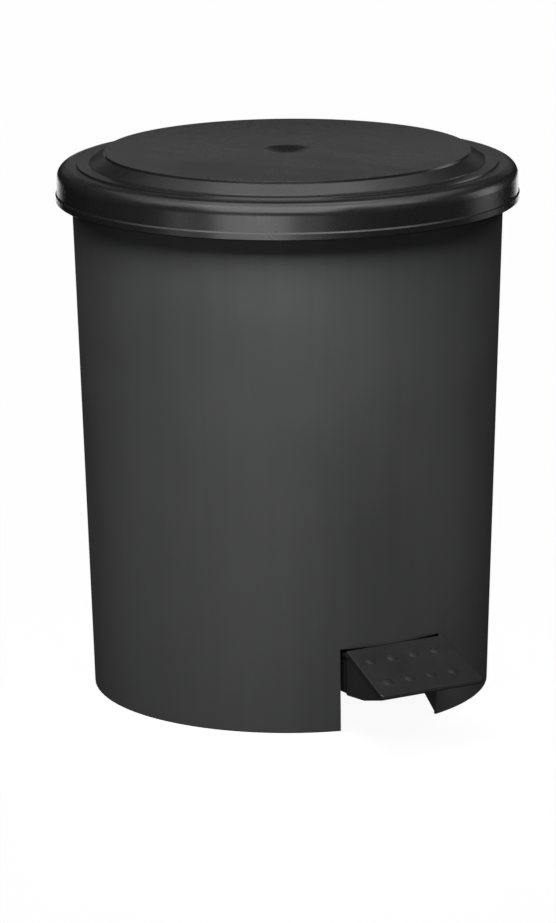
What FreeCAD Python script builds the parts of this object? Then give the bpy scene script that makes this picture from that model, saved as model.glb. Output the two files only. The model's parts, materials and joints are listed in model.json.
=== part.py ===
import FreeCAD, Part
import math
import os

from FreeCAD import Vector

# Round pedal bin, in millimetres. +Z is up, the floor is Z = 0 and the bin's axis is the Z axis.
# The pedal points to -Y and the lid's hinge is at +Y.

# Outer shell
SHELL_HEIGHT = 320.0
SHELL_FOOT_R = 126.3
SHELL_RIM_R = 135.94
SHELL_WALL = 2.2
RAISED_FLOOR_Z = 58.0
RAISED_FLOOR_T = 2.5
RIM_BEAD_Z = 313.5
RIM_BEAD_OUT = 1.2

# Pedal cut-out in the shell's skirt
CUTOUT_HALF_TOP = 35.6
CUTOUT_HALF_FOOT = 34.6
CUTOUT_TOP_Z = 53.0
RETURN_DEPTH = 20.0
RETURN_T = 2.0
RETURN_RISE = 0.73

# Lid
LID_LIP_R = 146.0
LID_LIP_Z = 313.8
LID_LIP_H = 4.8
LID_SKIRT_R = 145.1
LID_SHOULDER_R = 7.6
LID_SHELF_Z = 337.6
LID_SHELF_EDGE_R = 132.4
LID_SHELF_EDGE_STEP = 1.2
LID_RISER_FOOT_R = 124.3
LID_DISC_R = 115.1
LID_DISC_Z = 344.6
LID_DISC_STEP = 1.6
LID_EDGE_R = 0.2
LID_T = 1.9
DIMPLE_R = 14.5
DIMPLE_DEPTH = 2.0
HUB_R = 6.5
HUB_DEPTH = 2.7
LID_RIB_R = 131.0
LID_RIB_T = 1.8
LID_RIB_Z = 324.5
PAD_ANGLES = (48, 112, -112, -48)
LID_NOTCH_HALF = 36.0
LID_NOTCH_Z = 327.0
BOSS_FOOT_Z = 332.1
BRACKET_SCREW_X = 24.0
BRACKET_SCREW_Y = 121.0
BRACKET_PLATE_Z = 329.6
BRACKET_PLATE_T = 2.4

# Lid hinge and the crank that opens it
HINGE_Y = 142.0
HINGE_Z = 320.0
HINGE_PIN_R = 2.0
SLEEVE_R = 4.4
SLEEVE_HALF = 23.6
LUG_R = 4.6
LUG_X = 24.2
LUG_T = 6.0
CRANK_X = 5.5
CRANK_T = 6.0
LID_OPEN_DEG = 68.0

# Push rod
ROD_R = 2.0
ROD_Y = 118.5
ROD_BEND_R = 6.0
ROD_HOOK_X = 14.6
ROD_FOOT_HOOK_X = 12.0
CRANK_REACH = HINGE_Y - ROD_Y
ROD_STROKE = 2.0 * CRANK_REACH * math.tan(math.radians(LID_OPEN_DEG / 2.0))
ROD_TOP_Z = HINGE_Z - ROD_STROKE / 2.0
ROD_FOOT_Z = 16.6
HOOK_CLEARANCE = 0.35

# Pedal lever and its axle
PEDAL_PRESS_DEG = 11.1
LEVER_TAIL = ROD_STROKE / (2.0 * math.sin(math.radians(PEDAL_PRESS_DEG / 2.0)))
AXLE_Y = ROD_Y - LEVER_TAIL * math.cos(math.radians(PEDAL_PRESS_DEG / 2.0))
AXLE_Z = ROD_FOOT_Z + ROD_STROKE / 2.0
AXLE_R = 3.0
HUB_OUTER_R = 6.4
HUB_HALF = 39.5
TREAD_FRONT_Y = -174.0
TREAD_FRONT_Z = 36.2
TREAD_BACK_Y = -128.6
TREAD_BACK_Z = 53.6
TREAD_BACK_DROP = 2.3
TREAD_BACK_T = 1.8
TREAD_EDGE_R = 0.5
TREAD_OVERHANG = 0.8
TREAD_HALF_FRONT = 36.8
TREAD_HALF_BACK = 34.6
LEVER_HALF = 32.8
LEVER_T = 2.3
BUMP_R = 3.4
BUMP_H = 0.8
BUMP_PITCH = 15.5
BUMP_ROWS = ((0.713, -1.7), (0.258, -1.7))
FORK_HALF = 8.2
FORK_WEB = 2.2
FORK_TIP_R = 5.0
FORK_PLAY = 0.9
BUSH_R = 4.6
BUSH_L = 12.0

# Bearing blocks under the raised floor
BEARING_X = 40.2
BEARING_T = 10.0
BEARING_DEPTH = 18.0
BEARING_FOOT_DEPTH = 44.0
BEARING_FOOT_T = 4.0
BEARING_SCREW_DY = 16.0

# Bucket
BUCKET_FLOOR_Z = 66.0
BUCKET_FLOOR_R = 110.0
BUCKET_WALL = 1.8
BUCKET_STEP_Z = 305.0
BUCKET_STEP_R = 122.0
BUCKET_MOUTH_R = 129.8
BUCKET_FLANGE_R = 136.2
BUCKET_FLANGE_T = 2.0
BUCKET_FLANGE_Z = SHELL_HEIGHT + 0.1
GROOVE_HALF = 16.5
GROOVE_Y = 106.5

# Bucket handle
BAIL_R = 119.4
BAIL_CENTRE_Y = -4.0
BAIL_BEND_R = 4.0
BAIL_Z = 309.7
BAIL_WIRE_R = 2.0
GRIP_R = 4.2
GRIP_HALF_DEG = 20.0

# Rod channel, its guides, and small hardware
CHANNEL_HALF = 11.0
CHANNEL_FRONT_Y = 110.8
CHANNEL_WALL = 1.8
CHANNEL_FOOT_Z = RAISED_FLOOR_Z + RAISED_FLOOR_T + 0.1
CHANNEL_TOP_Z = 292.0
WING_X = 18.0
WING_Z = 280.0
WING_FACE_Y = 130.0
GUIDE_H = 10.0
GUIDE_UPPER_Z = 245.0
GUIDE_LOWER_Z = 95.0
SCREW_R = 1.7
SCREW_HEAD_R = 3.4
SCREW_HEAD_T = 2.0
SCREW_FIT = 0.05
NUT_T = 1.2
NUT_RIM = 2.6
NUT_CROWN = 1.3

AXIS_X = Vector(1, 0, 0)
AXIS_Y = Vector(0, 1, 0)
AXIS_Z = Vector(0, 0, 1)
BIG = 400.0


def revolved(points):
    """Solid of a closed (radius, height) outline turned round the Z axis.

    A point with a third value is the middle of an arc.
    """
    edges = []
    start = points[0]
    middle = None
    for point in points[1:] + [points[0]]:
        if len(point) == 3:
            middle = point
            continue
        a = Vector(start[0], 0, start[1])
        b = Vector(point[0], 0, point[1])
        if middle:
            edges.append(Part.Arc(a, Vector(middle[0], 0, middle[1]), b).toShape())
        else:
            edges.append(Part.makeLine(a, b))
        start = point
        middle = None
    return Part.Face(Part.Wire(edges)).revolve(Vector(), AXIS_Z, 360)


def box(x0, x1, y0, y1, z0, z1):
    return Part.makeBox(x1 - x0, y1 - y0, z1 - z0, Vector(x0, y0, z0))


def rod_x(radius, x0, x1, y, z):
    """Cylinder along X."""
    return Part.makeCylinder(radius, x1 - x0, Vector(x0, y, z), AXIS_X)


def rod_z(radius, z0, z1, x, y):
    """Cylinder along Z."""
    return Part.makeCylinder(radius, z1 - z0, Vector(x, y, z0), AXIS_Z)


def plate_x(outline, x0, x1):
    """Prism along X of a closed (y, z) outline."""
    points = [Vector(x0, y, z) for y, z in outline]
    return Part.Face(Part.makePolygon(points + points[:1])).extrude(Vector(x1 - x0, 0, 0))


def plate_y(outline, y0, y1):
    """Prism along Y of a closed (x, z) outline."""
    points = [Vector(x, y0, z) for x, z in outline]
    return Part.Face(Part.makePolygon(points + points[:1])).extrude(Vector(0, y1 - y0, 0))


def plate_z(outline, z0, z1):
    """Prism along Z of a closed (x, y) outline."""
    points = [Vector(x, y, z0) for x, y in outline]
    return Part.Face(Part.makePolygon(points + points[:1])).extrude(Vector(0, 0, z1 - z0))


def joined(shapes):
    whole = shapes[0].fuse(shapes[1:]) if len(shapes) > 1 else shapes[0]
    return whole.removeSplitter()


def both_sides(shape):
    """The shape and its mirror image across the bin's middle plane."""
    return [shape, shape.mirror(Vector(), AXIS_X)]


def group(solids):
    """Several separate solids in one node."""
    return Part.makeCompound(solids)


def shell_r(z):
    """Outer radius of the shell's wall at a height."""
    return SHELL_FOOT_R + (SHELL_RIM_R - SHELL_FOOT_R) * z / SHELL_HEIGHT


def wall_y(x, radius):
    """Depth of a round wall at a sideways position."""
    return math.sqrt(radius * radius - x * x)


def push_nut(x, y, z, bore_r):
    """Thin domed washer pressed on the end of a pin along X."""
    rim = rod_x(bore_r + NUT_RIM, x, x + NUT_T * 0.5, y, z)
    crown = rod_x(bore_r + NUT_CROWN, x + NUT_T * 0.5, x + NUT_T, y, z)
    return rim.fuse(crown).cut(rod_x(bore_r, x - 1, x + NUT_T + 1, y, z))


def screw(position, direction, length):
    """Pan-head screw whose head sits on the given point and whose shank runs along the direction."""
    head = Part.makeCylinder(SCREW_HEAD_R, SCREW_HEAD_T, position - direction * SCREW_HEAD_T, direction)
    rings = [edge for edge in head.Edges if len(edge.Vertexes) == 1]
    top = position - direction * SCREW_HEAD_T
    crown = [edge for edge in rings if edge.BoundBox.Center.sub(top).Length < SCREW_HEAD_T / 2]
    head = head.makeFillet(SCREW_HEAD_T * 0.45, crown)
    shank = Part.makeCylinder(SCREW_R, length, position, direction)
    recess = Part.makeCone(SCREW_HEAD_R * 0.42, 0.3, SCREW_HEAD_T * 0.6, top, direction)
    return head.fuse(shank).cut(recess)


def cutout_prism(grow, z_top):
    """Prism of the pedal cut-out, widened by grow on each side, through the front of the wall."""
    outline = [
        (-CUTOUT_HALF_FOOT - grow, -1.0),
        (CUTOUT_HALF_FOOT + grow, -1.0),
        (CUTOUT_HALF_TOP + grow, z_top),
        (-CUTOUT_HALF_TOP - grow, z_top),
    ]
    return plate_y(outline, -SHELL_RIM_R - 5.0, -SHELL_FOOT_R + RETURN_DEPTH)


def cutout_returns():
    """Flanges that run inwards from the cut-out's edges; their lower edges rise inwards from the floor."""
    frame = cutout_prism(RETURN_T, CUTOUT_TOP_Z + RETURN_T).cut(cutout_prism(0.0, CUTOUT_TOP_Z))
    inside = revolved([(0, 0), (shell_r(0) - 0.5, 0), (shell_r(80) - 0.5, 80), (0, 80)])
    front_y = -wall_y(CUTOUT_HALF_FOOT, SHELL_FOOT_R)
    run = 3 * RETURN_DEPTH
    below = [
        (front_y - run, -2.0),
        (front_y + run, -2.0),
        (front_y + run, RETURN_RISE * run),
        (front_y, 0.0),
        (front_y - run, 0.0),
    ]
    return frame.common(inside).cut(plate_x(below, -BIG / 4, BIG / 4))


def shell_hollow(z_low, z_high):
    """Solid of the space inside the shell's wall, between two heights."""
    low_r = shell_r(z_low) - SHELL_WALL
    high_r = shell_r(z_high) - SHELL_WALL
    return revolved([(0, z_low), (low_r, z_low), (high_r, z_high), (0, z_high)])


def hinge_lug(x0):
    """One lug behind the shell's rim, with its boss round the hinge pin."""
    inside_y = SHELL_RIM_R - 10.0
    outline = [
        (inside_y, HINGE_Z - 30.0),
        (HINGE_Y + LUG_R - 0.3, HINGE_Z - 1.4),
        (HINGE_Y, HINGE_Z + LUG_R),
        (SHELL_RIM_R - 1.4, HINGE_Z),
        (inside_y, HINGE_Z),
    ]
    boss = rod_x(LUG_R, x0, x0 + LUG_T, HINGE_Y, HINGE_Z)
    return plate_x(outline, x0, x0 + LUG_T).fuse(boss).cut(shell_hollow(HINGE_Z - 60.0, HINGE_Z + 20.0))


def bearing_screw_points():
    """Centres of the four bearing screws, in plan."""
    x = BEARING_X + BEARING_T / 2
    return [(side * x, AXLE_Y + dy) for side in (-1, 1) for dy in (-BEARING_SCREW_DY, BEARING_SCREW_DY)]


def outer_body():
    """Tapered one-piece shell with a raised floor, pedal cut-out, rim bead, hinge lugs and screw bosses."""
    bead_r = shell_r(RIM_BEAD_Z) + RIM_BEAD_OUT
    floor_top = RAISED_FLOOR_Z + RAISED_FLOOR_T
    shell = revolved([
        (SHELL_FOOT_R - SHELL_WALL, 0),
        (SHELL_FOOT_R - 0.4, 0),
        (SHELL_FOOT_R, 0.4),
        (shell_r(RIM_BEAD_Z), RIM_BEAD_Z),
        (bead_r, RIM_BEAD_Z + RIM_BEAD_OUT),
        (bead_r, SHELL_HEIGHT - 1.6),
        (bead_r - 0.5, SHELL_HEIGHT - 0.5, "arc"),
        (bead_r - 1.6, SHELL_HEIGHT),
        (SHELL_RIM_R - SHELL_WALL + 0.6, SHELL_HEIGHT),
        (SHELL_RIM_R - SHELL_WALL, SHELL_HEIGHT - 0.6),
        (shell_r(floor_top) - SHELL_WALL, floor_top + 4.0),
        (shell_r(floor_top) - SHELL_WALL - 1.2, floor_top + 1.2, "arc"),
        (shell_r(floor_top) - SHELL_WALL - 4.0, floor_top),
        (0, floor_top),
        (0, RAISED_FLOOR_Z),
        (shell_r(RAISED_FLOOR_Z) - SHELL_WALL, RAISED_FLOOR_Z),
    ])
    cutout = cutout_prism(0.0, CUTOUT_TOP_Z)
    shell = shell.cut(cutout)
    # the rim bead stops short of the hinge
    band = revolved([
        (shell_r(RIM_BEAD_Z) + 0.01, RIM_BEAD_Z - 1),
        (bead_r + 1, RIM_BEAD_Z - 1),
        (bead_r + 1, SHELL_HEIGHT + 1),
        (SHELL_RIM_R + 0.01, SHELL_HEIGHT + 1),
    ])
    shell = shell.cut(band.common(box(-LID_NOTCH_HALF, LID_NOTCH_HALF, 0, BIG, 0, BIG)))
    adds = [shell, cutout_returns()]
    adds += both_sides(hinge_lug(LUG_X))
    for x, y in bearing_screw_points():
        adds.append(rod_z(4.6, floor_top - 0.5, floor_top + 3.6, x, y))
    wall_inner = revolved([(0, 0), (shell_r(0) - 1.0, 0), (shell_r(BIG) - 1.0, BIG), (0, BIG)])
    for side in (-1, 1):
        boss = Part.makeCylinder(4.2, 8.0, Vector(side * WING_X, WING_FACE_Y, WING_Z), AXIS_Y)
        adds.append(boss.common(wall_inner))
    body = joined(adds)
    crank_slot = box(CRANK_X - 2.0, CRANK_X + CRANK_T + 2.0, 125, BIG / 2, HINGE_Z - 24.0, BIG)
    cuts = [crank_slot, rod_x(HINGE_PIN_R + 0.02, -40, 40, HINGE_Y, HINGE_Z)]
    cuts.append(rod_z(ROD_R + 2.5, 40, floor_top + 1, 0, ROD_Y))
    for x, y in bearing_screw_points():
        cuts.append(rod_z(SCREW_R + SCREW_FIT, RAISED_FLOOR_Z - 1, RAISED_FLOOR_Z + 4.6, x, y))
    for side in (-1, 1):
        start = Vector(side * WING_X, WING_FACE_Y - 0.5, WING_Z)
        cuts.append(Part.makeCylinder(SCREW_R + SCREW_FIT, 2.7, start, AXIS_Y))
    return body.cut(Part.makeCompound(cuts))


def bucket_form(offset):
    """Solid of the bucket without its flange: its outside at offset 0, its hollow at a wall's offset."""
    top = BUCKET_FLANGE_Z + BUCKET_FLANGE_T + (1.0 if offset else 0.0)
    step_low = BUCKET_STEP_Z - BUCKET_WALL + offset
    corner = 7.0 - offset
    floor_r = BUCKET_FLOOR_R - offset
    floor_z = BUCKET_FLOOR_Z - BUCKET_WALL + offset
    form = revolved([
        (0, floor_z),
        (floor_r - corner, floor_z),
        (floor_r - corner * (1 - math.sqrt(0.5)), floor_z + corner * (1 - math.sqrt(0.5)), "arc"),
        (floor_r, floor_z + corner),
        (BUCKET_STEP_R - offset, step_low),
        (BUCKET_MOUTH_R - offset, step_low),
        (BUCKET_MOUTH_R - offset, top),
        (0, top),
    ])
    half = GROOVE_HALF + offset
    return form.cut(box(-half, half, GROOVE_Y - offset, BIG / 2, 0, BIG))


def inner_bucket():
    """Liner: a flange hangs on the shell's rim, a ledge carries the handle, a groove clears the rod."""
    flange = revolved([
        (BUCKET_MOUTH_R - 1.0, BUCKET_FLANGE_Z),
        (BUCKET_FLANGE_R - 0.6, BUCKET_FLANGE_Z),
        (BUCKET_FLANGE_R, BUCKET_FLANGE_Z + 0.6),
        (BUCKET_FLANGE_R, BUCKET_FLANGE_Z + BUCKET_FLANGE_T - 0.8),
        (BUCKET_FLANGE_R - 0.8, BUCKET_FLANGE_Z + BUCKET_FLANGE_T),
        (BUCKET_MOUTH_R - 1.0, BUCKET_FLANGE_Z + BUCKET_FLANGE_T),
    ])
    flange = flange.cut(box(-LID_NOTCH_HALF, LID_NOTCH_HALF, 130.6, BIG / 2, 0, BIG))
    flange = flange.cut(box(-GROOVE_HALF, GROOVE_HALF, 0, BIG / 2, 0, BIG))
    ear = rod_x(5.0, BUCKET_MOUTH_R - BUCKET_WALL - 1.2, BUCKET_MOUTH_R - 0.5, 0, BAIL_Z)
    feet = revolved([
        (84.0, RAISED_FLOOR_Z + RAISED_FLOOR_T + 0.2),
        (86.5, RAISED_FLOOR_Z + RAISED_FLOOR_T + 0.2),
        (86.5, BUCKET_FLOOR_Z - 1.0),
        (84.0, BUCKET_FLOOR_Z - 1.0),
    ])
    whole = joined([bucket_form(0.0), flange, feet] + both_sides(ear))
    hollow = bucket_form(BUCKET_WALL)
    for each in both_sides(ear):
        hollow = hollow.cut(each)
    bucket = whole.cut(hollow)
    hole = rod_x(BAIL_WIRE_R + 0.06, BUCKET_MOUTH_R - 8, BUCKET_MOUTH_R + 2, 0, BAIL_Z)
    return bucket.cut(Part.makeCompound(both_sides(hole)))


def swept(edges, radius):
    """Round bar along a path of straight runs and tangent arcs."""
    path = Part.Wire(edges)
    start = edges[0].valueAt(edges[0].FirstParameter)
    along = edges[0].tangentAt(edges[0].FirstParameter)
    section = Part.Wire(Part.makeCircle(radius, start, along))
    return path.makePipeShell([section], True, False)


def bail_arc(half_deg):
    """Arc of the bail round the front of the bucket, half_deg each side of the middle."""
    half = math.radians(half_deg)
    points = []
    for angle in (-half, 0.0, half):
        y = BAIL_CENTRE_Y - BAIL_R * math.cos(angle)
        points.append(Vector(BAIL_R * math.sin(angle), y, BAIL_Z))
    return Part.Arc(*points).toShape()


def bail_wire():
    """Bucket handle: half a ring whose ends turn outwards through the bucket's ears."""
    bend = BAIL_BEND_R * (1 - math.sqrt(0.5))
    end_x = BUCKET_MOUTH_R + 0.4
    edges = []
    for side in (-1, 1):
        inner = Vector(side * BAIL_R, BAIL_CENTRE_Y, BAIL_Z)
        middle = Vector(side * (BAIL_R + bend), BAIL_CENTRE_Y + BAIL_BEND_R - bend, BAIL_Z)
        outer = Vector(side * (BAIL_R + BAIL_BEND_R), 0, BAIL_Z)
        tip = Vector(side * end_x, 0, BAIL_Z)
        if side < 0:
            edges += [Part.makeLine(tip, outer), Part.Arc(outer, middle, inner).toShape(), bail_arc(90)]
        else:
            edges += [Part.Arc(inner, middle, outer).toShape(), Part.makeLine(outer, tip)]
    upsets = both_sides(rod_x(BAIL_WIRE_R + 0.9, end_x - 0.2, end_x + 1.0, 0, BAIL_Z))
    return joined([swept(edges, BAIL_WIRE_R)] + upsets)


def bail_grip():
    """Plastic sleeve round the middle of the bail, with swollen ends."""
    arc = bail_arc(GRIP_HALF_DEG)
    sleeve = swept([arc], GRIP_R)
    return sleeve.cut(swept([bail_arc(GRIP_HALF_DEG + 2)], BAIL_WIRE_R + 0.02))


def lid_outline(inset):
    """Runs of the lid's half section, from the axis to the lip: outside at inset 0, inside at a wall's."""
    arc_r = LID_SHOULDER_R - inset
    centre_r = LID_SKIRT_R - LID_SHOULDER_R
    centre_z = LID_SHELF_Z - LID_SHELF_EDGE_STEP - LID_SHOULDER_R
    diagonal = arc_r * math.sqrt(0.5)
    shelf_z = LID_SHELF_Z - inset
    foot_r = LID_RISER_FOOT_R - inset
    disc_r = LID_DISC_R - inset * 0.7
    disc_z = LID_DISC_Z - inset
    step = 0.0 if inset else LID_DISC_STEP
    edge = 0.0 if inset else LID_EDGE_R
    bevel = edge * (1 - math.sqrt(0.5))
    rounded = [(disc_r - edge, disc_z), (disc_r - bevel, disc_z - bevel, "arc"), (disc_r, disc_z - edge)]
    edge_r = LID_SHELF_EDGE_R - inset * 0.3
    rounded_shelf = [
        (edge_r - edge, shelf_z),
        (edge_r - bevel, shelf_z - bevel, "arc"),
        (edge_r, shelf_z - edge),
    ]
    return {
        "disc": [(disc_r, disc_z)] if inset else rounded,
        "step": [(disc_r + 0.25, disc_z - step)],
        "riser": [(foot_r, shelf_z + (0.0 if inset else 0.4))],
        "shelf": [(foot_r + 0.15, shelf_z)] + ([(edge_r, shelf_z)] if inset else rounded_shelf),
        "shoulder": [
            (edge_r + 0.3, centre_z + arc_r),
            (centre_r, centre_z + arc_r),
            (centre_r + diagonal, centre_z + diagonal, "arc"),
            (centre_r + arc_r, centre_z),
        ],
    }


def lid():
    """One-piece lid: disc with a gate dimple, riser, shelf, shoulder, skirt, lip and closing rib."""
    outer = lid_outline(0.0)
    inner = lid_outline(LID_T)
    top = [
        (0, LID_DISC_Z - HUB_DEPTH),
        (HUB_R * 0.6, LID_DISC_Z - HUB_DEPTH),
        (HUB_R, LID_DISC_Z - DIMPLE_DEPTH),
        (DIMPLE_R, LID_DISC_Z),
    ]
    lip_top = LID_LIP_Z + LID_LIP_H
    lip = [
        (LID_SKIRT_R + 0.1, lip_top + 0.3),
        (LID_LIP_R - 0.5, lip_top),
        (LID_LIP_R, lip_top - 0.6),
        (LID_LIP_R, LID_LIP_Z + 0.7),
        (LID_LIP_R - 0.7, LID_LIP_Z),
        (LID_SKIRT_R - LID_T, LID_LIP_Z),
    ]
    # the gate dimple also shows below, so the wall keeps its thickness there
    under = [
        (HUB_R, LID_DISC_Z - LID_T - DIMPLE_DEPTH),
        (0, LID_DISC_Z - LID_T - DIMPLE_DEPTH),
    ]
    outline = top + outer["disc"] + outer["step"] + outer["riser"] + outer["shelf"]
    outline += outer["shoulder"] + lip
    outline += inner["shoulder"][::-1] + inner["shelf"][::-1] + inner["riser"] + inner["disc"]
    outline += [(DIMPLE_R, LID_DISC_Z - LID_T)] + under
    skin = revolved(outline)
    rib = revolved([
        (LID_RIB_R - LID_RIB_T, LID_RIB_Z),
        (LID_RIB_R, LID_RIB_Z),
        (LID_RIB_R, LID_SHELF_Z - LID_T + 0.5),
        (LID_RIB_R - LID_RIB_T, LID_SHELF_Z - LID_T + 0.5),
    ])
    rib = rib.cut(box(-LID_NOTCH_HALF - 4, LID_NOTCH_HALF + 4, 0, BIG, 0, BIG))
    adds = [skin, rib]
    for x, y in pad_points():
        adds.append(rod_z(4.6, LID_RIB_Z, LID_SHELF_Z - LID_T + 0.5, x, y))
    for x, y in bracket_screw_points():
        adds.append(rod_z(4.2, BOSS_FOOT_Z, LID_SHELF_Z - LID_T + 0.5, x, y))
    whole = joined(adds)
    notch = box(-LID_NOTCH_HALF, LID_NOTCH_HALF, 60, BIG, 0, LID_NOTCH_Z)
    side_edges = [edge for edge in notch.Edges if abs(edge.BoundBox.ZMin - LID_NOTCH_Z) < 0.1]
    side_edges = [edge for edge in side_edges if abs(edge.BoundBox.XLength) < 0.1]
    notch = notch.makeFillet(6.0, side_edges)
    cuts = [notch]
    for x, y in bracket_screw_points():
        cuts.append(rod_z(SCREW_R + SCREW_FIT, BOSS_FOOT_Z - 1.0, BOSS_FOOT_Z + 3.4, x, y))
    return whole.cut(Part.makeCompound(cuts))


def pad_points():
    """Centres of the closing pads, in plan; their angles are counted from the front."""
    radius = LID_RIB_R - LID_RIB_T / 2
    return [(radius * math.sin(math.radians(a)), -radius * math.cos(math.radians(a))) for a in PAD_ANGLES]


def lid_pads():
    """Soft pads under the closing rib."""
    pads = []
    for x, y in pad_points():
        pad = rod_z(4.4, LID_RIB_Z - 1.9, LID_RIB_Z, x, y)
        rings = [edge for edge in pad.Edges if len(edge.Vertexes) == 1]
        pads.append(pad.makeFillet(0.6, [ring for ring in rings if ring.BoundBox.ZMax < LID_RIB_Z - 1.0]))
    return group(pads)


def bracket_screw_points():
    """Centres of the two bracket screws, in plan."""
    return [(-BRACKET_SCREW_X, BRACKET_SCREW_Y), (BRACKET_SCREW_X, BRACKET_SCREW_Y)]


def hinge_bracket():
    """Moulding under the lid: hinge sleeve, two arms, mounting plate and the slotted crank."""
    sleeve = rod_x(SLEEVE_R, -SLEEVE_HALF, SLEEVE_HALF, HINGE_Y, HINGE_Z)
    plate_top = BRACKET_PLATE_Z + BRACKET_PLATE_T
    plate = box(-30, 30, 114.0, 131.0, BRACKET_PLATE_Z, plate_top)
    corners = [edge for edge in plate.Edges if edge.BoundBox.ZLength > 1]
    plate = plate.makeFillet(4.0, corners)
    arm_outline = [
        (137.7, HINGE_Z),
        (136.9, 325.0),
        (133.5, BRACKET_PLATE_Z),
        (118.0, BRACKET_PLATE_Z),
        (118.0, plate_top),
        (136.0, plate_top + 0.4),
        (138.2, 330.6),
        (139.9, 327.4),
        (141.2, 326.0),
        (HINGE_Y + SLEEVE_R - 0.2, HINGE_Z + 1.2),
        (HINGE_Y, HINGE_Z),
    ]
    arms = both_sides(plate_x(arm_outline, 14.0, 21.0))
    reach = Vector(0, ROD_Y - HINGE_Y, ROD_TOP_Z - HINGE_Z)
    along = Vector(reach)
    along.normalize()
    near = Vector(0, HINGE_Y, HINGE_Z) + along * (CRANK_REACH)
    far = Vector(0, HINGE_Y, HINGE_Z) + reach
    across = Vector(0, -along.z, along.y)
    x0 = CRANK_X
    x1 = CRANK_X + CRANK_T

    def bar(start, end, half_a, half_b, lo, hi):
        """Tapered bar between two points of the hinge plane, with round ends."""
        corners4 = [
            start + across * half_a,
            end + across * half_b,
            end - across * half_b,
            start - across * half_a,
        ]
        solid = plate_x([(p.y, p.z) for p in corners4], lo, hi)
        solid = solid.fuse(rod_x(half_a, lo, hi, start.y, start.z))
        return solid.fuse(rod_x(half_b, lo, hi, end.y, end.z))

    hinge = Vector(0, HINGE_Y, HINGE_Z)
    crank = bar(hinge, far, SLEEVE_R, 4.6, x0, x1)
    whole = joined([sleeve, plate, crank] + arms)
    slot_r = ROD_R + HOOK_CLEARANCE
    # the slot is as wide as the hook's path needs: the rod rises straight while the crank turns
    slot = bar(near - along * 0.6, far + along * 0.1, slot_r + 1.0, slot_r, x0 - 1, x1 + 1)
    cuts = [slot, rod_x(HINGE_PIN_R + 0.06, -40, 40, HINGE_Y, HINGE_Z)]
    for x, y in bracket_screw_points():
        cuts.append(rod_z(SCREW_R + SCREW_FIT, BRACKET_PLATE_Z - 1.0, plate_top + 1.0, x, y))
    return whole.cut(Part.makeCompound(cuts))


def hinge_bracket_screws():
    """Two pan-head screws that hold the bracket's plate to the lid's bosses."""
    return group([screw(Vector(x, y, BRACKET_PLATE_Z), AXIS_Z, 5.4) for x, y in bracket_screw_points()])


def hinge_pin():
    """Steel pin through the two lugs and the bracket's sleeve."""
    pin = rod_x(HINGE_PIN_R, -33.6, 33.6, HINGE_Y, HINGE_Z)
    return pin.makeChamfer(0.4, [edge for edge in pin.Edges if len(edge.Vertexes) == 1])


def hinge_push_nuts():
    """One nut on each end of the hinge pin."""
    nut = push_nut(LUG_X + LUG_T + 0.1, HINGE_Y, HINGE_Z, HINGE_PIN_R + 0.01)
    return group(both_sides(nut))


def lever_side(lift):
    """Upper side outline of the lever's front half, lowered by lift: tread, drop and run to the hub."""
    slope = (TREAD_BACK_Z - TREAD_FRONT_Z) / (TREAD_BACK_Y - TREAD_FRONT_Y)
    forward = TREAD_BACK_T if lift else 0.0
    return [
        (TREAD_FRONT_Y, TREAD_FRONT_Z - lift),
        (TREAD_BACK_Y - forward, TREAD_BACK_Z - forward * slope - lift),
        (TREAD_BACK_Y - forward + 0.3, TREAD_BACK_Z - TREAD_BACK_DROP - lift),
        (AXLE_Y - 8.0, AXLE_Z + HUB_OUTER_R + 0.6 - lift),
        (AXLE_Y, AXLE_Z + HUB_OUTER_R - lift),
    ]


def lever_plan(inset):
    """Plan outline of the lever's front half, in (x, y)."""
    half_front = TREAD_HALF_FRONT - inset
    half_back = TREAD_HALF_BACK - inset
    half_in = LEVER_HALF - inset
    rear_y = AXLE_Y + (0.0 if inset == 0 else -3.0)
    right = [
        (half_front - 1.2, TREAD_FRONT_Y + inset),
        (half_front, TREAD_FRONT_Y + 1.2 + inset),
        (half_back, TREAD_BACK_Y + 1.0),
        (half_in, TREAD_BACK_Y + 5.0),
        (half_in, rear_y),
    ]
    return right + [(-x, y) for x, y in reversed(right)]


def tread_point(across, along):
    """A point on the tread's upper face: across in mm, along from 0 at the front edge to 1 at the back."""
    y = TREAD_FRONT_Y + along * (TREAD_BACK_Y - TREAD_FRONT_Y)
    z = TREAD_FRONT_Z + along * (TREAD_BACK_Z - TREAD_FRONT_Z)
    return Vector(across, y, z)


def tread_edges(deck):
    """Edges round the tread's upper face."""
    start = tread_point(0.0, 0.0)
    along = tread_point(0.0, 1.0) - start
    normal = Vector(0, -along.z, along.y).normalize()
    found = []
    for edge in deck.Edges:
        ends = [vertex.Point - start for vertex in edge.Vertexes]
        if all(abs(end.dot(normal)) < 0.01 for end in ends):
            found.append(edge)
    return found


def tread_bumps():
    """Two rows of four low round bumps."""
    slope = math.atan2(TREAD_BACK_Z - TREAD_FRONT_Z, TREAD_BACK_Y - TREAD_FRONT_Y)
    normal = Vector(0, -math.sin(slope), math.cos(slope))
    sphere_r = (BUMP_R * BUMP_R + BUMP_H * BUMP_H) / (2 * BUMP_H)
    bumps = []
    for along, shift in BUMP_ROWS:
        for column in range(4):
            foot = tread_point((column - 1.5) * BUMP_PITCH + shift, along)
            centre = foot + normal * (BUMP_H - sphere_r)
            ball = Part.makeSphere(sphere_r, centre)
            trim = Part.makeCylinder(BUMP_R, 3.0, foot - normal * 0.5, normal)
            bumps.append(ball.common(trim))
    return bumps


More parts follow.
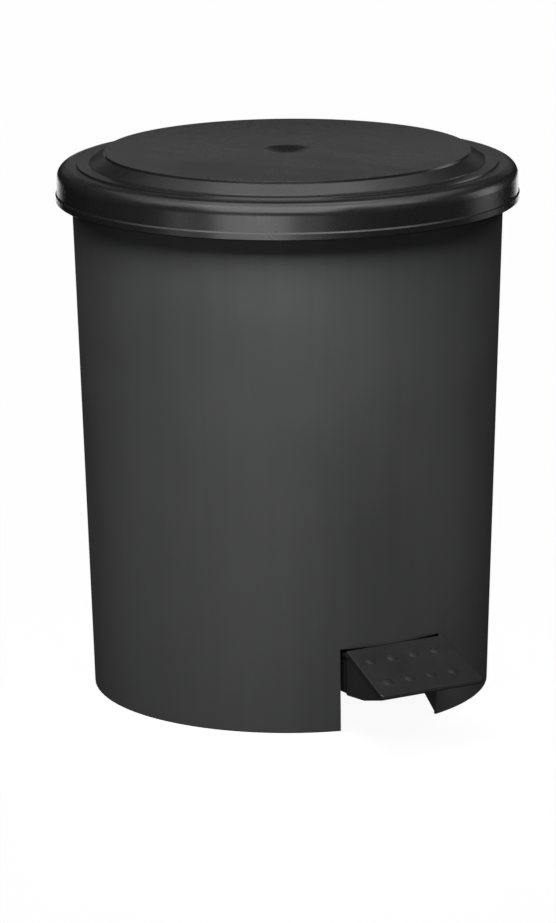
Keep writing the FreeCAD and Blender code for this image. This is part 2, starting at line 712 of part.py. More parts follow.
def lever_tail():
    """Rear arm: an inverted channel that narrows from the hub to the fork that lifts the rod."""
    length = ROD_Y - AXLE_Y
    drop = ROD_FOOT_Z - AXLE_Z

    def side(top_in, grow):
        top_hub = AXLE_Z + HUB_OUTER_R - top_in
        top_tip = ROD_FOOT_Z + 5.0 - top_in
        low_hub = AXLE_Z - HUB_OUTER_R - grow
        low_tip = ROD_FOOT_Z - 5.0 - grow
        return [(AXLE_Y, top_hub), (ROD_Y, top_tip), (ROD_Y, low_tip), (AXLE_Y, low_hub)]

    def plan(inset):
        half_hub = 17.0 - inset
        half_tip = FORK_HALF - inset
        far = ROD_Y + (1.0 if inset else 0.0)
        near = AXLE_Y + (3.0 if inset else 0.0)
        return [(-half_hub, near), (half_hub, near), (half_tip, far), (-half_tip, far)]

    outer = plate_x(side(0.0, 0.0), -BIG / 4, BIG / 4).common(plate_z(plan(0.0), -5, 80))
    inner = plate_x(side(LEVER_T, 20.0), -BIG / 4, BIG / 4).common(plate_z(plan(FORK_WEB), -30, 80))
    arm = outer.cut(inner)
    # the top is open over the fork so that the rod can pass down between the webs
    fork_in = FORK_HALF - FORK_WEB
    fork = box(-fork_in, fork_in, ROD_Y - 12.0, BIG / 2, 0, 80)
    ends = both_sides(rod_x(FORK_TIP_R, fork_in, FORK_HALF, ROD_Y, ROD_FOOT_Z))
    brace_y = AXLE_Y + length * 0.42
    brace_z = AXLE_Z + drop * 0.42
    brace = box(-13.0, 13.0, brace_y, brace_y + 2.0, brace_z - 5.0, brace_z + 4.0)
    brace = brace.common(outer)
    return joined([arm.cut(fork), brace] + ends)


def pedal_lever():
    """One moulding: tread with bumps, side webs, ribs below, hub tube and rear arm."""
    low = [
        (AXLE_Y, AXLE_Z - HUB_OUTER_R),
        (AXLE_Y - 30.0, AXLE_Z - HUB_OUTER_R - 1.5),
        (-128.0, 24.6),
        (-150.0, 27.0),
        (TREAD_FRONT_Y, TREAD_FRONT_Z - 2.8),
    ]
    deck_side = lever_side(0.0) + lever_side(LEVER_T)[::-1]
    deck = plate_x(deck_side, -BIG / 4, BIG / 4).common(plate_z(lever_plan(0.0), 0, 80))
    deck = deck.makeFillet(TREAD_EDGE_R, tread_edges(deck))
    webs = plate_x(lever_side(1.0) + low, -BIG / 4, BIG / 4)
    webs = webs.common(plate_z(lever_plan(TREAD_OVERHANG), 0, 80))
    outer = joined([deck, webs])
    hollow_side = lever_side(LEVER_T) + [(AXLE_Y, -20.0), (TREAD_FRONT_Y, -20.0)]
    hollow = plate_x(hollow_side, -BIG / 4, BIG / 4).common(plate_z(lever_plan(2.6), -30, 80))
    front = outer.cut(hollow)
    ribs = []
    for x in (-17.5, 0.0, 17.5):
        rib_side = lever_side(0.5)[:4] + [
            (AXLE_Y - 8.0, AXLE_Z - 3.0),
            (-118.0, 36.0),
            (TREAD_FRONT_Y + 1.0, TREAD_FRONT_Z - 2.8),
        ]
        ribs.append(plate_x(rib_side, x - 0.8, x + 0.8).common(outer))
    hub = rod_x(HUB_OUTER_R, -HUB_HALF, HUB_HALF, AXLE_Y, AXLE_Z)
    whole = joined([front, hub, lever_tail()] + ribs + tread_bumps())
    # the tail's end swings on an arc while the rod rises straight, so its hole is a short slot
    half = ROD_R + HOOK_CLEARANCE
    slot = rod_x(half, -20, 20, ROD_Y - FORK_PLAY, ROD_FOOT_Z)
    slot = slot.fuse(rod_x(half, -20, 20, ROD_Y, ROD_FOOT_Z))
    slot = slot.fuse(box(-20, 20, ROD_Y - FORK_PLAY, ROD_Y, ROD_FOOT_Z - half, ROD_FOOT_Z + half))
    cuts = [slot, rod_x(AXLE_R + 0.6, -60, 60, AXLE_Y, AXLE_Z)]
    for x0 in (-HUB_HALF - 1, HUB_HALF - BUSH_L):
        cuts.append(rod_x(BUSH_R + 0.01, x0, x0 + BUSH_L + 1, AXLE_Y, AXLE_Z))
    return whole.cut(Part.makeCompound(cuts))


def lever_bushes():
    """Nylon bushes in the two ends of the hub."""
    tube = rod_x(BUSH_R, HUB_HALF - BUSH_L, HUB_HALF, AXLE_Y, AXLE_Z)
    tube = tube.cut(rod_x(AXLE_R + 0.05, HUB_HALF - BUSH_L - 1, HUB_HALF + 1, AXLE_Y, AXLE_Z))
    return group(both_sides(tube))


def pedal_axle():
    """Steel axle through the lever's hub and the two bearing blocks."""
    half = BEARING_X + BEARING_T + 3.4
    axle = rod_x(AXLE_R, -half, half, AXLE_Y, AXLE_Z)
    return axle.makeChamfer(0.5, [edge for edge in axle.Edges if len(edge.Vertexes) == 1])


def axle_push_nuts():
    """One nut on each end of the axle."""
    nut = push_nut(BEARING_X + BEARING_T + 0.1, AXLE_Y, AXLE_Z, AXLE_R + 0.01)
    return group(both_sides(nut))


def bearing():
    """Block that hangs from the raised floor and carries one end of the axle."""
    top = RAISED_FLOOR_Z - 0.05
    half = BEARING_DEPTH / 2
    outline = [
        (AXLE_Y - half, top),
        (AXLE_Y - 8.5, AXLE_Z),
        (AXLE_Y + 8.5, AXLE_Z),
        (AXLE_Y + half, top),
    ]
    block = plate_x(outline, BEARING_X, BEARING_X + BEARING_T)
    end = rod_x(8.5, BEARING_X, BEARING_X + BEARING_T, AXLE_Y, AXLE_Z)
    foot_half = BEARING_FOOT_DEPTH / 2
    far_x = BEARING_X + BEARING_T
    foot = box(BEARING_X, far_x, AXLE_Y - foot_half, AXLE_Y + foot_half, top - BEARING_FOOT_T, top)
    foot = foot.makeFillet(3.0, [edge for edge in foot.Edges if edge.BoundBox.ZLength > 2])
    whole = joined([block, end, foot])
    cuts = [rod_x(AXLE_R + 0.02, 0, 80, AXLE_Y, AXLE_Z)]
    for x, y in bearing_screw_points():
        cuts.append(rod_z(SCREW_R + SCREW_FIT, 30, 80, x, y))
    return whole.cut(Part.makeCompound(cuts))


def bearing_screws():
    """Four pan-head screws that hold the bearing blocks to the raised floor's bosses."""
    seat = RAISED_FLOOR_Z - 0.05 - BEARING_FOOT_T
    length = BEARING_FOOT_T + 4.2
    return group([screw(Vector(x, y, seat), AXIS_Z, length) for x, y in bearing_screw_points()])


def push_rod():
    """Steel rod from the lever's tail to the crank; each end turns sideways through its hole."""
    bend = ROD_BEND_R * (1 - math.sqrt(0.5))
    low = ROD_FOOT_Z
    high = ROD_TOP_Z

    def at(x, z):
        return Vector(x, ROD_Y, z)

    edges = [
        Part.makeLine(at(ROD_FOOT_HOOK_X, low), at(ROD_BEND_R, low)),
        Part.Arc(at(ROD_BEND_R, low), at(bend, low + bend), at(0, low + ROD_BEND_R)).toShape(),
        Part.makeLine(at(0, low + ROD_BEND_R), at(0, high - ROD_BEND_R)),
        Part.Arc(at(0, high - ROD_BEND_R), at(bend, high - bend), at(ROD_BEND_R, high)).toShape(),
        Part.makeLine(at(ROD_BEND_R, high), at(ROD_HOOK_X, high)),
    ]
    return swept(edges, ROD_R)


def rod_push_nuts():
    """One nut on each hook of the rod."""
    top = push_nut(CRANK_X + CRANK_T + 0.5, ROD_Y, ROD_TOP_Z, ROD_R + 0.01)
    foot = push_nut(FORK_HALF + 1.2, ROD_Y, ROD_FOOT_Z, ROD_R + 0.01)
    return group([top, foot])


def rod_channel():
    """Strip in front of the rod: a U section open to the shell's back wall, with two screwed wings."""
    foot_y = wall_y(CHANNEL_HALF, shell_r(CHANNEL_FOOT_Z) - SHELL_WALL) - 0.4
    top_y = wall_y(CHANNEL_HALF, shell_r(CHANNEL_TOP_Z) - SHELL_WALL) - 0.4
    outline = [
        (CHANNEL_FRONT_Y, CHANNEL_FOOT_Z),
        (foot_y - 4.2, CHANNEL_FOOT_Z),
        (foot_y, CHANNEL_FOOT_Z + 4.2),
        (top_y, CHANNEL_TOP_Z),
        (CHANNEL_FRONT_Y, CHANNEL_TOP_Z),
    ]
    solid = plate_x(outline, -CHANNEL_HALF, CHANNEL_HALF)
    inner_half = CHANNEL_HALF - CHANNEL_WALL
    hollow = box(-inner_half, inner_half, CHANNEL_FRONT_Y + CHANNEL_WALL, BIG / 2, 0, BIG)
    face = WING_FACE_Y - 0.05
    wing = box(inner_half, 23.0, face - 2.0, face, WING_Z - 6.0, WING_Z + 6.0)
    tips = [edge for edge in wing.Edges if edge.BoundBox.YLength > 1 and edge.BoundBox.XMin > WING_X]
    wing = wing.makeFillet(3.0, tips)
    whole = joined([solid.cut(hollow)] + both_sides(wing))
    cuts = []
    for side in (-1, 1):
        cuts.append(Part.makeCylinder(SCREW_R + SCREW_FIT, 20, Vector(side * WING_X, 120, WING_Z), AXIS_Y))
    return whole.cut(Part.makeCompound(cuts))


def rod_channel_screws():
    """Two pan-head screws that hold the channel's wings to the shell's bosses."""
    seat = WING_FACE_Y - 0.05 - 2.0
    return group([screw(Vector(side * WING_X, seat, WING_Z), AXIS_Y, 4.0) for side in (-1, 1)])


def rod_guide(z):
    """Nylon block inside the channel, bored for the rod."""
    half = CHANNEL_HALF - CHANNEL_WALL - 0.05
    front = CHANNEL_FRONT_Y + CHANNEL_WALL + 0.05
    block = box(-half, half, front, ROD_Y + 4.6, z - GUIDE_H / 2, z + GUIDE_H / 2)
    rear = [edge for edge in block.Edges if edge.BoundBox.ZLength > 2 and edge.BoundBox.YMin > ROD_Y]
    block = block.makeFillet(2.0, rear)
    return block.cut(rod_z(ROD_R + 0.3, z - GUIDE_H, z + GUIDE_H, 0, ROD_Y))


def main():
    bearing_right = bearing()
    nodes = {
        "outer_body": outer_body(),
        "inner_bucket": inner_bucket(),
        "bail_wire": bail_wire(),
        "bail_grip": bail_grip(),
        "lid": lid(),
        "lid_pads": lid_pads(),
        "hinge_bracket": hinge_bracket(),
        "hinge_bracket_screws": hinge_bracket_screws(),
        "hinge_pin": hinge_pin(),
        "hinge_push_nuts": hinge_push_nuts(),
        "pedal_lever": pedal_lever(),
        "lever_bushes": lever_bushes(),
        "pedal_axle": pedal_axle(),
        "axle_push_nuts": axle_push_nuts(),
        "bearing_right": bearing_right,
        "bearing_left": bearing_right.mirror(Vector(), AXIS_X),
        "bearing_screws": bearing_screws(),
        "push_rod": push_rod(),
        "rod_push_nuts": rod_push_nuts(),
        "rod_channel": rod_channel(),
        "rod_channel_screws": rod_channel_screws(),
        "rod_guide_upper": rod_guide(GUIDE_UPPER_Z),
        "rod_guide_lower": rod_guide(GUIDE_LOWER_Z),
    }
    os.makedirs("parts", exist_ok=True)
    for name, shape in nodes.items():
        shape.exportStep(f"parts/{name}.step")
        volume = shape.Volume / 1000
        print(f"{name:22} solids {len(shape.Solids)} valid {shape.isValid()} volume {volume:.2f} cm3")
    print(f"rod stroke {ROD_STROKE:.3f}, axle y {AXLE_Y:.3f} z {AXLE_Z:.3f}, rod top z {ROD_TOP_Z:.3f}")


main()
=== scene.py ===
import json
import math

import bpy
from mathutils import Matrix, Vector

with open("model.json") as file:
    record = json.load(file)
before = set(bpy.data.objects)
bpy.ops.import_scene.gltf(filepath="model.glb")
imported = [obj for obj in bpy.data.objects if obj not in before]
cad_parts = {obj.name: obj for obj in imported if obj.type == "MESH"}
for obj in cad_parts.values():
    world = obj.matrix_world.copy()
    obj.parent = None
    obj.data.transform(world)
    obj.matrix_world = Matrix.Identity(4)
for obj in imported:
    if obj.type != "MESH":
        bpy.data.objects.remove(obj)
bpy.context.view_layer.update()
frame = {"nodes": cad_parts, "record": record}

MM = 0.001
WHITE = (1, 1, 1, 1)

# ---------------------------------------------------------------- camera

CAMERA_AZIMUTH = -30.0
CAMERA_DISTANCE = 2.8484
CAMERA_HEIGHT = 0.8393
CAMERA_YAW = -0.147
CAMERA_PITCH = 13.747
CAMERA_ROLL = 0.45
LENS_MM = 179.12
SENSOR_MM = 36.0


def make_camera():
    """Camera on the front left, tilted down; right0, up0 and forward0 are its axes before it is turned."""
    azimuth = math.radians(CAMERA_AZIMUTH)
    yaw = math.radians(CAMERA_YAW)
    pitch = math.radians(CAMERA_PITCH)
    roll = math.radians(CAMERA_ROLL)
    forward0 = Vector((-math.sin(azimuth), math.cos(azimuth), 0))
    right0 = Vector((math.cos(azimuth), math.sin(azimuth), 0))
    level = forward0 * math.cos(yaw) + right0 * math.sin(yaw)
    right = right0 * math.cos(yaw) - forward0 * math.sin(yaw)
    up0 = Vector((0, 0, 1))
    forward = level * math.cos(pitch) - up0 * math.sin(pitch)
    up = level * math.sin(pitch) + up0 * math.cos(pitch)
    tilted_right = right * math.cos(roll) - up * math.sin(roll)
    tilted_up = up * math.cos(roll) + right * math.sin(roll)
    data = bpy.data.cameras.new("camera")
    data.sensor_width = SENSOR_MM
    data.lens = LENS_MM
    data.clip_end = 50.0
    camera = bpy.data.objects.new("camera", data)
    bpy.context.scene.collection.objects.link(camera)
    axes = Matrix((tilted_right, tilted_up, -forward)).transposed()
    place = forward0 * -CAMERA_DISTANCE + up0 * CAMERA_HEIGHT
    camera.matrix_world = Matrix.Translation(place) @ axes.to_4x4()
    bpy.context.scene.camera = camera


make_camera()

# ---------------------------------------------------------------- light and floor


def collection_of(name, nodes):
    """Pieces that a linked light reaches."""
    group = bpy.data.collections.new(name)
    for node in nodes:
        group.objects.link(frame["nodes"][node])
    return group


LID_NODES = ["lid", "lid_pads", "hinge_bracket", "hinge_bracket_screws"]
PEDAL_NODES = ["pedal_lever", "lever_bushes"]
BODY_NODES = [name for name in frame["nodes"] if name not in LID_NODES + PEDAL_NODES]


def area_light(name, relative, elevation, distance, width, height, power, reaches, target):
    """Softbox that faces the target and lights only the pieces that it reaches.

    relative is its azimuth from the camera's, to the right, and power is in watts.
    """
    a = math.radians(CAMERA_AZIMUTH + relative)
    e = math.radians(elevation)
    back = Vector((math.sin(a) * math.cos(e), -math.cos(a) * math.cos(e), math.sin(e)))
    data = bpy.data.lights.new(name, "AREA")
    data.shape = "RECTANGLE"
    data.size = width
    data.size_y = height
    data.energy = power
    lamp = bpy.data.objects.new(name, data)
    bpy.context.scene.collection.objects.link(lamp)
    lamp.location = Vector(target) + back * distance
    lamp.rotation_mode = "QUATERNION"
    lamp.rotation_quaternion = back.to_track_quat("Z", "Y")
    lamp.visible_camera = False
    lamp.light_linking.receiver_collection = reaches


WORLD_STRENGTH = 0.065


def make_world():
    """Weak even light from all around, which the pieces do not mirror."""
    world = bpy.data.worlds.new("studio")
    bpy.context.scene.world = world
    world.use_nodes = True
    background = world.node_tree.nodes["Background"]
    background.inputs["Color"].default_value = WHITE
    background.inputs["Strength"].default_value = WORLD_STRENGTH
    world.cycles_visibility.glossy = False


SHEET_COLOUR = (0.93, 0.93, 0.93, 1)
SHEET_GLOW = 0.94
ROOM_HALF = 8.0
ROOM_TOP = 9.0
FLOOR_CORNERS = [
    (-ROOM_HALF, -ROOM_HALF, 0),
    (ROOM_HALF, -ROOM_HALF, 0),
    (ROOM_HALF, ROOM_HALF, 0),
    (-ROOM_HALF, ROOM_HALF, 0),
]


def white_sheet(name, corners, faces):
    """Glowing white sheet for the camera, which neither lights the pieces nor is mirrored by them."""
    mesh = bpy.data.meshes.new(name)
    mesh.from_pydata(corners, [], faces)
    sheet = bpy.data.objects.new(name, mesh)
    bpy.context.scene.collection.objects.link(sheet)
    material = bpy.data.materials.new(name + "_white")
    material.use_nodes = True
    shader = material.node_tree.nodes["Principled BSDF"]
    shader.inputs["Base Color"].default_value = SHEET_COLOUR
    shader.inputs["Roughness"].default_value = 0.5
    shader.inputs["Emission Color"].default_value = WHITE
    shader.inputs["Emission Strength"].default_value = SHEET_GLOW
    mesh.materials.append(material)
    sheet.visible_glossy = False
    sheet.visible_diffuse = False
    sheet.visible_shadow = False


def make_floor():
    white_sheet("floor", FLOOR_CORNERS, [(0, 1, 2, 3)])


def make_walls():
    """Four walls around the floor, so that low views end in white as well."""
    high = [(x, y, ROOM_TOP) for x, y, z in FLOOR_CORNERS]
    faces = [(n, (n + 1) % 4, (n + 1) % 4 + 4, n + 4) for n in range(4)]
    white_sheet("walls", FLOOR_CORNERS + high, faces)


make_world()
make_floor()
make_walls()
bpy.context.scene.view_settings.view_transform = "Standard"
TO_LID = collection_of("lit_lid", LID_NODES)
TO_PEDAL = collection_of("lit_pedal", PEDAL_NODES)
TO_BODY = collection_of("lit_body", BODY_NODES)
LID_AT = (0, 0, 0.335)
BODY_AT = (0, 0, 0.24)
PEDAL_AT = (0, -0.14, 0.04)
# name, azimuth from the camera's, elevation, distance, width, height, power, what it lights, where it aims
area_light("body_key", -6, 52, 0.61, 0.45, 0.25, 10.4, TO_BODY, BODY_AT)
area_light("body_right", 34, 54, 0.63, 0.25, 0.25, 0.9, TO_BODY, BODY_AT)
area_light("body_upper", -6, 14, 0.42, 0.5, 0.06, 0.07, TO_BODY, (0, 0, 0.26))
area_light("body_low", -20, -12, 0.45, 0.8, 0.1, 0.55, TO_BODY, (0, 0, 0.08))
area_light("body_low_left", -84, -4, 0.5, 0.3, 0.12, 0.15, TO_BODY, (0, 0, 0.03))
area_light("body_low_right", 80, -4, 0.5, 0.3, 0.12, 0.2, TO_BODY, (0, 0, 0.04))
area_light("body_rear", 180, 40, 0.9, 0.35, 0.5, 7.5, TO_BODY, BODY_AT)
area_light("body_left", -108, 42, 0.85, 0.35, 0.5, 2.6, TO_BODY, BODY_AT)
area_light("body_side_right", 108, 42, 0.85, 0.35, 0.5, 2.4, TO_BODY, BODY_AT)
area_light("pedal_key", -14, 50, 0.8, 0.5, 0.4, 9.5, TO_PEDAL, PEDAL_AT)
area_light("pedal_front", 30, 10, 0.8, 0.5, 0.3, 1.6, TO_PEDAL, PEDAL_AT)
area_light("lid_top", 180, 84, 1.0, 0.7, 0.5, 2.3, TO_LID, LID_AT)
area_light("lid_front", -8, 48, 1.0, 1.1, 1.1, 13.8, TO_LID, LID_AT)
area_light("lid_high_right", 110, 58, 1.0, 0.7, 0.6, 1.15, TO_LID, LID_AT)
area_light("lid_high_left", -110, 58, 1.0, 0.7, 0.6, 0.85, TO_LID, LID_AT)
area_light("lid_side_right", 60, 48, 1.0, 0.5, 0.6, 2.0, TO_LID, LID_AT)
area_light("lid_side_left", -70, 48, 1.0, 0.5, 0.6, 1.4, TO_LID, LID_AT)
# Four panels side by side under the lid's rim, weaker towards the right
for number, power in enumerate((1.45, 1.45, 0.41, 0.06)):
    area_light(f"lid_skirt_{number}", -25 + 17 * number, -10, 1.2, 0.36, 0.3, power, TO_LID, LID_AT)
area_light("lid_skirt_left", -50, -10, 1.2, 0.35, 0.3, 0.36, TO_LID, LID_AT)
area_light("lid_right", 110, 5, 1.2, 0.4, 0.6, 1.5, TO_LID, LID_AT)
area_light("back_near", 180, 16, 0.245, 0.5, 0.03, 0.012, TO_LID, LID_AT)
area_light("back_low", 180, 2, 1.2, 0.5, 0.12, 0.12, TO_LID, LID_AT)
area_light("lid_rear_low", 180, -14, 1.2, 1.2, 0.3, 2.8, TO_LID, LID_AT)

# ---------------------------------------------------------------- nodes


def new_material(name):
    """A material with nodes, with its tree and its shader."""
    material = bpy.data.materials.new(name)
    material.use_nodes = True
    tree = material.node_tree
    return material, tree, tree.nodes["Principled BSDF"]


def put(socket, value):
    """Sets a socket, or links it when the value is another node's output."""
    if isinstance(value, bpy.types.NodeSocket):
        socket.id_data.links.new(value, socket)
    else:
        socket.default_value = value


def space(tree, stretch=(1, 1, 1), turn=(0, 0, 0)):
    """Object coordinates in metres, turned and then multiplied along each axis."""
    place = tree.nodes.new("ShaderNodeTexCoord")
    mapping = tree.nodes.new("ShaderNodeMapping")
    mapping.vector_type = "TEXTURE"
    mapping.inputs["Rotation"].default_value = [math.radians(a) for a in turn]
    mapping.inputs["Scale"].default_value = [1 / factor for factor in stretch]
    put(mapping.inputs["Vector"], place.outputs["Object"])
    return mapping.outputs["Vector"]


def noise(tree, feature_mm, detail=2.0, stretch=(1, 1, 1), turn=(0, 0, 0)):
    """Soft noise from 0 to 1 whose features are about the given size."""
    texture = tree.nodes.new("ShaderNodeTexNoise")
    texture.inputs["Scale"].default_value = 1 / (feature_mm * MM)
    texture.inputs["Detail"].default_value = detail
    put(texture.inputs["Vector"], space(tree, stretch, turn))
    return texture.outputs["Fac"]


def cells(tree, cell_mm, stretch=(1, 1, 1)):
    """Distance from the nearest point of a scatter, in cells."""
    texture = tree.nodes.new("ShaderNodeTexVoronoi")
    texture.inputs["Scale"].default_value = 1 / (cell_mm * MM)
    put(texture.inputs["Vector"], space(tree, stretch))
    return texture.outputs["Distance"]


def remap(tree, value, from_low, from_high, to_low, to_high):
    """Straight map of a value from one range to another, held at its ends."""
    node = tree.nodes.new("ShaderNodeMapRange")
    put(node.inputs["Value"], value)
    node.inputs["From Min"].default_value = from_low
    node.inputs["From Max"].default_value = from_high
    node.inputs["To Min"].default_value = to_low
    node.inputs["To Max"].default_value = to_high
    return node.outputs["Result"]


def maths(tree, operation, a, b):
    node = tree.nodes.new("ShaderNodeMath")
    node.operation = operation
    put(node.inputs[0], a)
    put(node.inputs[1], b)
    return node.outputs["Value"]


def blend(tree, factor, a, b):
    """Colour between a and b; either is a socket or an RGB triple."""
    node = tree.nodes.new("ShaderNodeMix")
    node.data_type = "RGBA"
    sockets = [socket for socket in node.inputs if socket.type == "RGBA"]
    put(node.inputs["Factor"], factor)
    for socket, colour in zip(sockets, (a, b)):
        put(socket, colour if isinstance(colour, bpy.types.NodeSocket) else (*colour, 1))
    return [socket for socket in node.outputs if socket.type == "RGBA"][0]


def rounded(tree, radius_mm):
    """Normal that turns softly over sharp edges, as a mould's small radius does."""
    node = tree.nodes.new("ShaderNodeBevel")
    node.samples = 6
    node.inputs["Radius"].default_value = radius_mm * MM
    return node.outputs["Normal"]


def edges(tree, normal, width=0.06):
    """1 along sharp edges and 0 on flat faces, from a rounded normal."""
    geometry = tree.nodes.new("ShaderNodeNewGeometry")
    dot = tree.nodes.new("ShaderNodeVectorMath")
    dot.operation = "DOT_PRODUCT"
    put(dot.inputs[0], normal)
    put(dot.inputs[1], geometry.outputs["Normal"])
    return remap(tree, dot.outputs["Value"], 1 - width, 0.998, 1.0, 0.0)


def bump(tree, height, depth_mm, normal, strength=1.0):
    """Normal shaken by a height from 0 to 1 that stands for the given depth."""
    node = tree.nodes.new("ShaderNodeBump")
    node.inputs["Strength"].default_value = strength
    node.inputs["Distance"].default_value = depth_mm * MM
    put(node.inputs["Height"], height)
    put(node.inputs["Normal"], normal)
    return node.outputs["Normal"]


def scratches(tree, turns, length_mm=24.0, width_mm=0.16):
    """1 on fine hairlines that run in several directions, in broken patches."""
    total = None
    for number, turn in enumerate(turns):
        fine = noise(tree, width_mm, 0.0, (width_mm / length_mm, 1, 1), (0, 0, turn))
        line = remap(tree, fine, 0.76, 0.82, 0.0, 1.0)
        total = line if total is None else maths(tree, "MAXIMUM", total, line)
    patches = remap(tree, noise(tree, 38.0, 1.0), 0.5, 0.62, 0.0, 1.0)
    return maths(tree, "MULTIPLY", total, patches)


# ---------------------------------------------------------------- materials


def moulded(name, dark, light, roughness, spread, grain_mm, grain_depth, peel_depth, edge_mm=0.5):
    """Moulded polypropylene: cloudy tone, upright flow lines, spark-eroded grain and paler rubbed edges.

    Returns the parts that the finishes build on.
    """
    material, tree, shader = new_material(name)
    clouds = noise(tree, 55.0, 3.0)
    flow = noise(tree, 7.0, 2.0, (1, 1, 0.05))
    grain = noise(tree, grain_mm, 1.0)
    tone = maths(tree, "MULTIPLY_ADD", flow, 0.45)
    put(tone.node.inputs[2], maths(tree, "MULTIPLY", clouds, 0.55))
    colour = blend(tree, remap(tree, tone, 0.36, 0.64, 0.0, 1.0), dark, light)
    corner = rounded(tree, edge_mm)
    along_edges = edges(tree, corner)
    wear = remap(tree, noise(tree, 4.0, 3.0), 0.42, 0.6, 0.0, 0.7)
    rubbed = maths(tree, "MULTIPLY", along_edges, wear)
    colour = blend(tree, rubbed, colour, [channel * 2.2 + 0.01 for channel in light])
    put(shader.inputs["Base Color"], colour)
    rough = remap(tree, clouds, 0.3, 0.7, roughness - spread, roughness + spread)
    rough = maths(tree, "ADD", rough, remap(tree, grain, 0.3, 0.7, -spread / 2, spread / 2))
    normal = bump(tree, noise(tree, 5.0, 1.0), peel_depth, corner)
    normal = bump(tree, flow, peel_depth * 0.5, normal)
    normal = bump(tree, grain, grain_depth, normal)
    put(shader.inputs["Roughness"], rough)
    put(shader.inputs["Normal"], normal)
    return material, tree, shader, {"colour": colour, "rough": rough, "normal": normal}


def shell_plastic():
    """The tapered shell: satin, with a fine even grain."""
    material, tree, shader, parts = moulded(
        "shell_plastic", (0.0275, 0.028, 0.0285), (0.0325, 0.033, 0.0335), 0.61, 0.03, 0.45, 0.006, 0.004
    )
    scuffs = maths(tree, "MULTIPLY", scratches(tree, (12, 78), 18.0, 0.14), 0.5)
    polish = maths(tree, "MULTIPLY", scuffs, 0.08)
    put(shader.inputs["Roughness"], maths(tree, "SUBTRACT", parts["rough"], polish))
    return material


def lid_plastic():
    """The lid: semi-gloss, with hairlines, faint wiping smears and a few specks in the gloss."""
    material, tree, shader, parts = moulded(
        "lid_plastic", (0.0112, 0.0112, 0.0115), (0.0132, 0.0132, 0.0136),
        0.275, 0.025, 0.7, 0.0012, 0.005, 0.15,
    )
    hairlines = scratches(tree, (8, 52, 117, 161), 26.0, 0.15)
    smears = remap(tree, noise(tree, 20.0, 2.0, (1, 0.35, 1), (0, 0, 35)), 0.5, 0.68, 0.0, 0.035)
    specks = remap(tree, cells(tree, 7.0), 0.02, 0.05, 0.06, 0.0)
    rough = maths(tree, "ADD", parts["rough"], smears)
    rough = maths(tree, "ADD", rough, specks)
    rough = maths(tree, "ADD", rough, maths(tree, "MULTIPLY", hairlines, 0.08))
    put(shader.inputs["Roughness"], rough)
    put(shader.inputs["Normal"], bump(tree, hairlines, -0.004, parts["normal"]))
    return material


def lever_plastic():
    """The pedal: satin, polished by shoes in patches on top and scuffed with fine lines."""
    material, tree, shader, parts = moulded(
        "lever_plastic", (0.0125, 0.0125, 0.013), (0.016, 0.016, 0.0165), 0.43, 0.03, 0.4, 0.006, 0.004, 0.6
    )
    scuffs = scratches(tree, (80, 97, 68), 12.0, 0.18)
    polish = remap(tree, noise(tree, 9.0, 2.0), 0.45, 0.65, 0.0, 0.07)
    rough = maths(tree, "SUBTRACT", parts["rough"], polish)
    put(shader.inputs["Roughness"], maths(tree, "ADD", rough, maths(tree, "MULTIPLY", scuffs, 0.12)))
    grey = maths(tree, "MULTIPLY", scuffs, 0.5)
    put(shader.inputs["Base Color"], blend(tree, grey, parts["colour"], (0.05, 0.05, 0.05)))
    put(shader.inputs["Normal"], bump(tree, scuffs, -0.01, parts["normal"]))
    return material


def bucket_plastic():
    """The liner and its grip: satin, with round draw marks."""
    material, tree, shader, parts = moulded(
        "bucket_plastic", (0.027, 0.0275, 0.029), (0.035, 0.0355, 0.037), 0.5, 0.05, 0.5, 0.006, 0.006
    )
    marks = noise(tree, 6.0, 3.0, (0.12, 0.12, 1))
    put(shader.inputs["Normal"], bump(tree, marks, 0.012, parts["normal"]))
    return material


def inner_plastic():
    """The small inner mouldings: an even coarse grain, as left by a spark-eroded tool."""
    material, tree, shader, parts = moulded(
        "inner_plastic", (0.026, 0.026, 0.0265), (0.033, 0.033, 0.034), 0.55, 0.04, 0.35, 0.015, 0.004
    )
    pits = remap(tree, cells(tree, 0.8), 0.1, 0.5, 0.0, 1.0)
    put(shader.inputs["Normal"], bump(tree, pits, 0.01, parts["normal"]))
    return material


def nylon():
    """Natural nylon: waxy off-white with faint yellow clouds."""
    material, tree, shader = new_material("nylon")
    clouds = remap(tree, noise(tree, 6.0, 3.0), 0.35, 0.65, 0.0, 1.0)
    put(shader.inputs["Base Color"], blend(tree, clouds, (0.62, 0.6, 0.53), (0.55, 0.52, 0.42)))
    put(shader.inputs["Roughness"], remap(tree, noise(tree, 2.0, 2.0), 0.3, 0.7, 0.34, 0.46))
    shader.inputs["Subsurface Weight"].default_value = 0.25
    shader.inputs["Subsurface Radius"].default_value = (0.002, 0.0018, 0.0012)
    put(shader.inputs["Normal"], bump(tree, noise(tree, 0.6, 1.0), 0.008, rounded(tree, 0.3)))
    return material


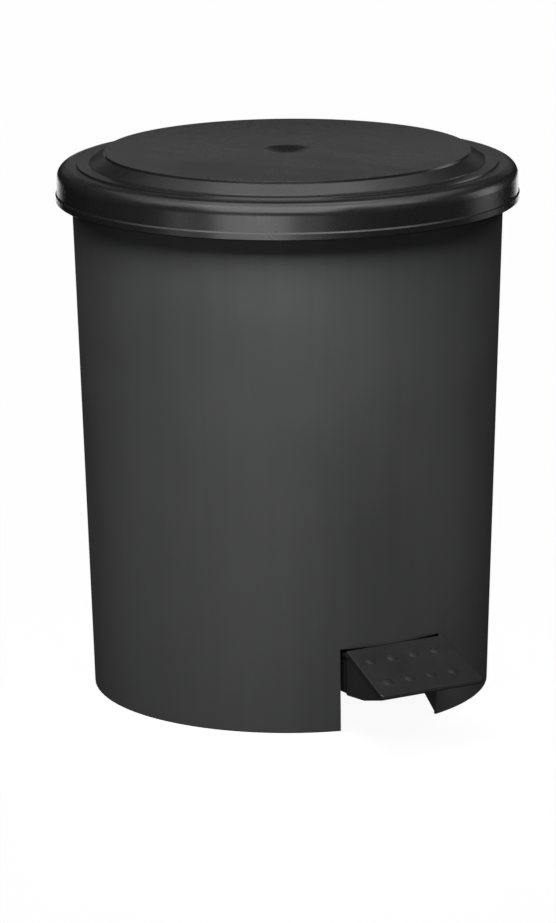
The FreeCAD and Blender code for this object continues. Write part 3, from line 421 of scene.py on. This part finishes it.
def drawn_steel(name, stretch):
    """Bright drawn wire: die lines along its length and faint brown tarnish."""
    material, tree, shader = new_material(name)
    lines = noise(tree, 0.35, 2.0, stretch)
    tarnish = remap(tree, noise(tree, 9.0, 4.0), 0.56, 0.72, 0.0, 0.5)
    bright = blend(tree, lines, (0.5, 0.5, 0.5), (0.64, 0.64, 0.63))
    put(shader.inputs["Base Color"], blend(tree, tarnish, bright, (0.3, 0.24, 0.18)))
    shader.inputs["Metallic"].default_value = 1.0
    rough = remap(tree, lines, 0.3, 0.7, 0.24, 0.36)
    put(shader.inputs["Roughness"], maths(tree, "ADD", rough, maths(tree, "MULTIPLY", tarnish, 0.3)))
    put(shader.inputs["Normal"], bump(tree, lines, 0.012, rounded(tree, 0.25)))
    return material


def plated_steel():
    """Zinc plating: fine spangle from bluish to straw, a little dulled."""
    material, tree, shader = new_material("plated_steel")
    spangle = remap(tree, noise(tree, 1.6, 2.0), 0.35, 0.65, 0.0, 1.0)
    put(shader.inputs["Base Color"], blend(tree, spangle, (0.6, 0.63, 0.66), (0.68, 0.66, 0.58)))
    shader.inputs["Metallic"].default_value = 1.0
    put(shader.inputs["Roughness"], remap(tree, noise(tree, 0.9, 2.0), 0.3, 0.7, 0.26, 0.44))
    put(shader.inputs["Normal"], bump(tree, noise(tree, 0.3, 2.0), 0.01, rounded(tree, 0.2)))
    return material


def pad_rubber():
    """Soft rubber: dull, dusty, with fine speckle."""
    material, tree, shader = new_material("pad_rubber")
    speckle = remap(tree, noise(tree, 0.5, 3.0), 0.45, 0.65, 0.0, 1.0)
    put(shader.inputs["Base Color"], blend(tree, speckle, (0.028, 0.028, 0.028), (0.06, 0.058, 0.055)))
    put(shader.inputs["Roughness"], remap(tree, noise(tree, 2.0, 2.0), 0.3, 0.7, 0.68, 0.85))
    put(shader.inputs["Normal"], bump(tree, noise(tree, 0.4, 2.0), 0.02, rounded(tree, 0.4)))
    return material


ALONG_X = (0.02, 1, 1)
ALONG_Z = (1, 1, 0.02)
SLOT_MATERIALS = {
    "shell_plastic": shell_plastic(),
    "lid_plastic": lid_plastic(),
    "lever_plastic": lever_plastic(),
    "bucket_plastic": bucket_plastic(),
    "inner_plastic": inner_plastic(),
    "nylon": nylon(),
    "steel": drawn_steel("steel_crosswise", ALONG_X),
    "plated_steel": plated_steel(),
    "pad_rubber": pad_rubber(),
}
NODE_MATERIALS = {"push_rod": drawn_steel("steel_upright", ALONG_Z)}

for part in frame["record"]["subparts"]:
    slots = frame["nodes"][part["node"]].data.materials
    slots.clear()
    slots.append(NODE_MATERIALS.get(part["node"], SLOT_MATERIALS[part["material_slot"]]))
